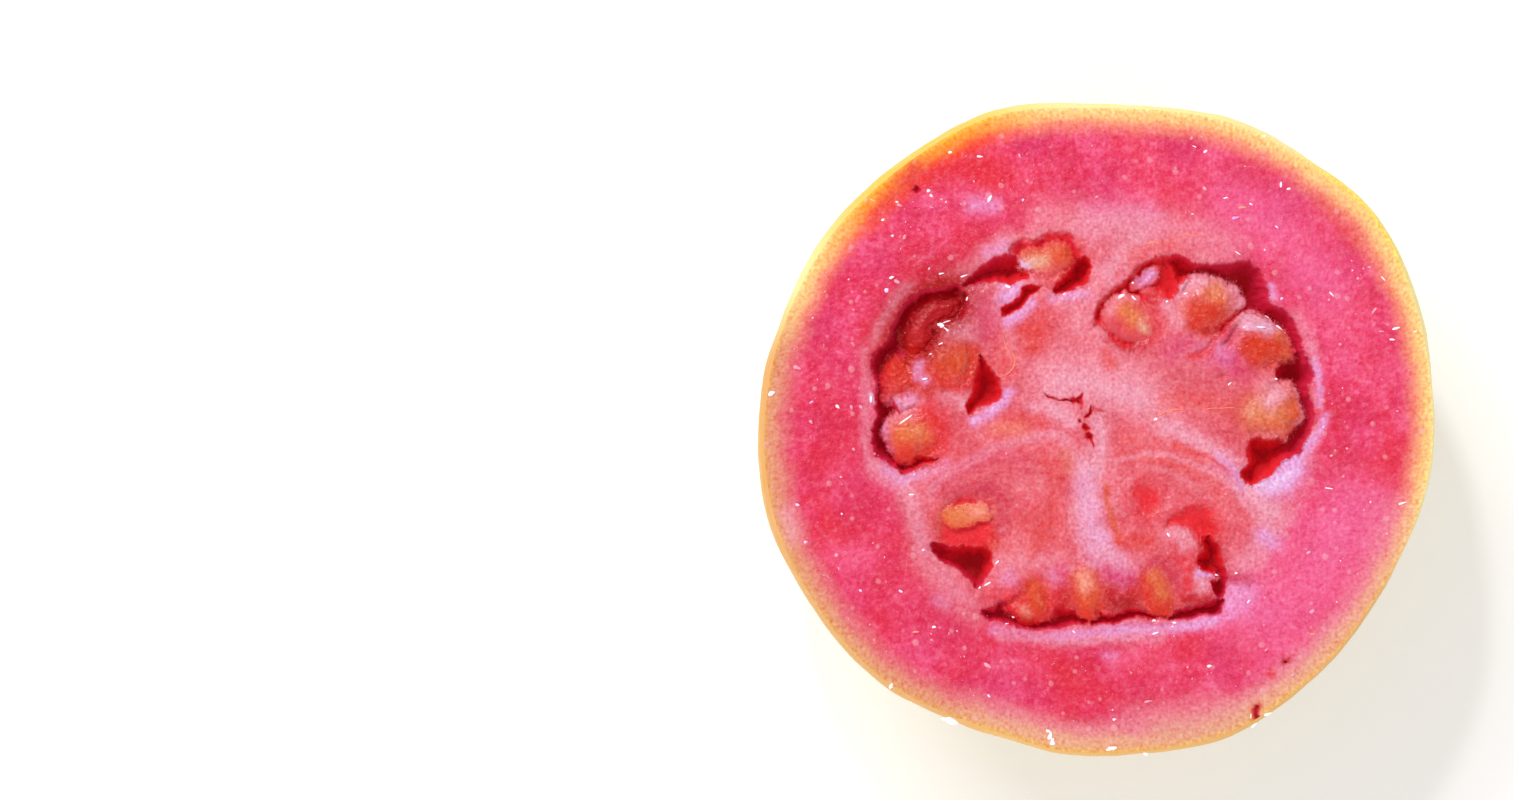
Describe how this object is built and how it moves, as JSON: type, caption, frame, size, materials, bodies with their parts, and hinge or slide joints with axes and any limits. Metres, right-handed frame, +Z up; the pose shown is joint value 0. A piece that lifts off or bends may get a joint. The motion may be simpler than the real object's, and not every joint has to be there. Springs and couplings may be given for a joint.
{
  "type": "guava half",
  "caption": "Half of a ripe pink guava, cut across, with seed chambers, hard seeds and a dried calyx underneath; rests cut face up.",
  "frame": {"origin": "middle of the fruit's outline, on the surface that its rounded underside rests on", "axes": "+Z up, out of the cut face; +X along the longest way across the cut face, to the right when it is seen from above with the lower seed chamber nearest the viewer; +Y away from the viewer"},
  "size_m": [0.0659, 0.0636, 0.034],
  "materials": {
    "flesh": "wet, grainy pink cut flesh and seed pulp",
    "skin": "thin, slightly waxy yellow skin with fine pores",
    "seed": "hard golden to orange seeds, wet with juice",
    "calyx": "dry, papery brown sepals"
  },
  "bodies": {
    "root": {"fruit_half": "flesh", "calyx_crown": "calyx"}
  },
  "joints": []
}
